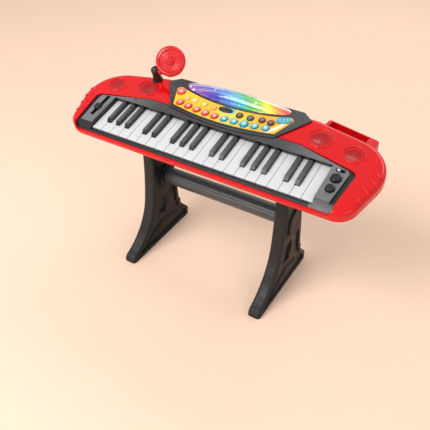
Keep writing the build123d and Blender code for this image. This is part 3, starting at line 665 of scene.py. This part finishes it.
def tapered(radius, steps, tip, slope):
    """Bead radii in metres: a share of the full radius at both ends, growing to it along the bead."""
    return [radius * MM * min(1.0, tip + slope * min(i, steps - i) / steps) for i in range(steps + 1)]


# Display window on the sheet: a black rim with a glossy lens in it
SHEET_TOP = 11.7
LENS_LIFT = 1.2


def display_place(a, b, level):
    return deck(DISPLAY_PLACE[0] + a, DISPLAY_PLACE[1] + b, SHEET_TOP + level)


def lens_place(a, b, level):
    return display_place(a, b, level + LENS_LIFT)


slab("display_rim", oval(14.5, 6.4), display_place, 1.5, BLACK_PLASTIC, 0.8)
LENS_PLASTIC = moulded_plastic("display_lens_plastic", linear(8, 9, 12), 0.08, 1.0)
slab("display_lens", oval(12.0, 4.7), lens_place, 0.9, LENS_PLASTIC, 0.5)

# Raised ridge between the printed sheet and the light dome
RIDGE_STEPS = 48
ridge = []
for i in range(RIDGE_STEPS + 1):
    x = -100 + 200 * i / RIDGE_STEPS
    ridge.append(deck(x, 133.0 + 16.0 * (x / 100) ** 2, SHEET_TOP))
bead("panel_ridge", ridge, tapered(1.7, RIDGE_STEPS, 0.35, 6), BLACK_PLASTIC)

# Side outline of the casing: a leaning straight flank, then a round back corner
FLANK_FRONT_X, FLANK_FRONT_V = 273.9, 12.2
FLANK_BACK_X, FLANK_BACK_V = 286.7, 62.0
FLANK_LEAN = math.radians(-14.5)
CORNER_X, CORNER_V, CORNER_RADIUS = 217.0, 80.0, 72.0
RIGHT_END_EXTRA = 14.0

# Grip ridges on both ends
GRIP_PLACES = (82.0, 62.0, 42.0, 22.0)
GRIP_STEPS = 16
GRIP_RADIUS, GRIP_TIP = 2.1, 0.06
GRIP_REACH, GRIP_TOP, GRIP_ROUND, GRIP_BOW = 20.0, 8.0, 9.0, 6.0


def casing_edge(v):
    """Left edge of the casing at v, as a positive x, with the outward direction there."""
    if v >= FLANK_BACK_V:
        rise = math.asin((v - CORNER_V) / CORNER_RADIUS)
        return CORNER_X + CORNER_RADIUS * math.cos(rise), rise
    growth = (v - FLANK_FRONT_V) * (FLANK_BACK_X - FLANK_FRONT_X) / (FLANK_BACK_V - FLANK_FRONT_V)
    return FLANK_FRONT_X + growth, FLANK_LEAN


def grip(name, v, side):
    """A ridge that runs out over the top of the casing and turns down over its edge."""
    edge_x, outward = casing_edge(v)
    if side > 0:
        edge_x += RIGHT_END_EXTRA
    path, radii = [], []
    for i in range(GRIP_STEPS + 1):
        share = i / GRIP_STEPS
        if share < 0.5:
            inset, height = GRIP_REACH - 2 * (GRIP_REACH - GRIP_ROUND) * share, GRIP_TOP
        else:
            turn = (share - 0.5) * math.pi * 0.9
            inset = GRIP_ROUND - GRIP_ROUND * math.sin(turn)
            height = GRIP_TOP - GRIP_ROUND + GRIP_ROUND * math.cos(turn)
        ridge_x = edge_x - inset * math.cos(outward)
        ridge_v = v - inset * math.sin(outward) + GRIP_BOW * (1 - share) ** 2
        path.append(deck(side * ridge_x, ridge_v, height))
        radii.append(GRIP_RADIUS * MM * max(GRIP_TIP, math.sin(math.pi * (0.04 + 0.92 * share))))
    bead(name, path, radii, RED_CASING)


for number, v in enumerate(GRIP_PLACES):
    grip(f"grip_right_{number + 1}", v, 1)
    grip(f"grip_left_{number + 1}", v, -1)

# Microphone: raised tab on the rim of the head
TAB_REACH = 27.0
tab = []
for turn in (-0.16, -0.08, 0.0, 0.08, 0.16):
    upward = MIC_TOP * (TAB_REACH * MM) * math.cos(turn)
    sideways = MIC_SIDE * (TAB_REACH * MM) * math.sin(turn)
    tab.append(MIC_CENTRE + upward + sideways + MIC_FACING * 1.0 * MM)
TAB_PLASTIC = moulded_plastic("tab_plastic", linear(236, 226, 214), 0.35)
bead("mic_tab", tab, [radius * MM for radius in (1.2, 1.9, 2.1, 1.9, 1.2)], TAB_PLASTIC, "mic_head")

# Stand: a raised ridge round each crossbar boss and a low plate on the foot
LEG_X, LEG_FACE = 142.0, 9.6
TUBE_Y, TUBE_Z = 97.0, 140.0
BOSS_RADIUS, BOSS_STEPS = 36.0, 24
FOOT_PLATE = ((8.0, 14.0), (132.0, 14.0), (112.0, 34.0), (66.0, 44.0), (40.0, 34.0))
KEYS_FRONT = deck(0, 0, 0)[1]


def leg_side(x, face):
    """Placing function for a flat side of a leg: distance behind the front of the keys, height, lift."""
    def place(back, height, lift):
        return Vector(((x + face * (lift - 0.2)) * MM, KEYS_FRONT + back * MM, height * MM))

    return place


for sign, leg in ((1, "right"), (-1, "left")):
    for face in (-1, 1):
        x = sign * LEG_X + face * LEG_FACE
        side = "out" if face * sign > 0 else "in"
        arc = []
        for i in range(BOSS_STEPS + 1):
            turn = math.radians(100 + 150 * i / BOSS_STEPS)
            back = TUBE_Y + BOSS_RADIUS * math.cos(turn)
            height = TUBE_Z + BOSS_RADIUS * math.sin(turn)
            arc.append(Vector((x * MM, KEYS_FRONT + back * MM, height * MM)))
        bead(f"boss_ridge_{leg}_{side}", arc, tapered(1.5, BOSS_STEPS, 0.3, 5), LEG_PLASTIC)
        slab(f"foot_plate_{leg}_{side}", FOOT_PLATE, leg_side(x, face), 1.6, LEG_PLASTIC, 0.8)

# --- Floor, light and camera ----------------------------------------------------------------------
FLOOR_SIZE = 9.0
bpy.ops.mesh.primitive_plane_add(size=FLOOR_SIZE, location=(0, 0, cad_box[0][2]))
floor = bpy.context.object
floor.name = "floor"
floor.data.materials.append(moulded_plastic("floor_paper", linear(250, 214, 190), 0.85, mottling=0.008))

world = bpy.data.worlds.new("studio")
bpy.context.scene.world = world
world.use_nodes = True
background = world.node_tree.nodes["Background"]
background.inputs["Color"].default_value = (1.0, 0.985, 0.97, 1.0)
background.inputs["Strength"].default_value = 0.62
bpy.context.scene.view_settings.view_transform = "Standard"


def softbox(name, place, target, size, power):
    """A white rectangular light at a place, turned to a target."""
    data = bpy.data.lights.new(name, "AREA")
    data.shape = "RECTANGLE"
    data.size, data.size_y = size
    data.energy = power
    light = bpy.data.objects.new(name, data)
    bpy.context.scene.collection.objects.link(light)
    light.location = place
    light.rotation_euler = (Vector(target) - Vector(place)).to_track_quat("-Z", "Y").to_euler()


centre = (Vector(cad_box[0]) + Vector(cad_box[1])) / 2
softbox("key_light", centre + Vector((-0.7, -1.35, 1.7)), centre, (1.3, 1.0), 34)
softbox("fill_light", centre + Vector((1.9, -0.9, 1.2)), centre, (1.2, 1.2), 5)
softbox("back_light", centre + Vector((0.3, 1.7, 1.5)), centre, (2.0, 0.7), 13)
low_target = centre - Vector((0, 0, 0.05))
softbox("low_front_light", centre + Vector((-0.35, -1.7, 0.15)), low_target, (1.0, 0.25), 5)

CAMERA_AZIMUTH, CAMERA_ELEVATION = 31.34, 38.79
CAMERA_DISTANCE = 1.0769
CAMERA_AIM = centre + Vector((0.0173, -0.0388, -0.0568))
camera_data = bpy.data.cameras.new("camera")
camera_data.sensor_width = 36.0
camera_data.lens = 48.69
camera = bpy.data.objects.new("camera", camera_data)
bpy.context.scene.collection.objects.link(camera)
camera.rotation_euler = (math.radians(90 - CAMERA_ELEVATION), 0, math.radians(CAMERA_AZIMUTH))
camera.location = CAMERA_AIM + camera.rotation_euler.to_matrix() @ Vector((0, 0, CAMERA_DISTANCE))
bpy.context.scene.camera = camera
